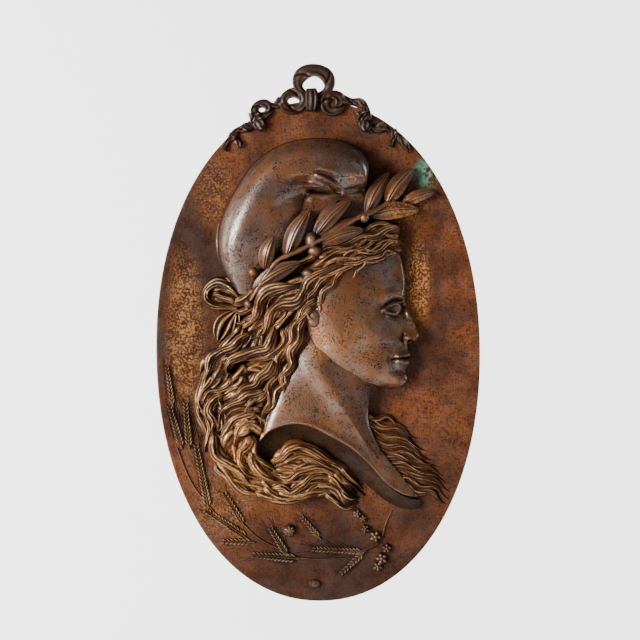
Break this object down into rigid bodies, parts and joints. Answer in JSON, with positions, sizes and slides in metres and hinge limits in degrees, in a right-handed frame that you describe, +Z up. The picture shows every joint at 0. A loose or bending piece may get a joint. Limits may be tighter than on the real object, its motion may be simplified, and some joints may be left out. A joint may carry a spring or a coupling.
{
  "type": "oval relief plaque",
  "caption": "Oval cast-bronze wall plaque with a head in profile in a soft cap, olive branch, wavy hair and wheat, hung by a ribbon bow's loop.",
  "frame": {"origin": "middle of the hanging loop's top band, on its flat back", "axes": "+X to the right as seen from the front, +Y into the wall, +Z up"},
  "size_m": [0.324, 0.0445, 0.5379],
  "materials": {
    "bronze": "brown patinated cast bronze with worn golden crests and a green spot"
  },
  "bodies": {
    "root": {"plaque": "bronze"}
  },
  "joints": []
}
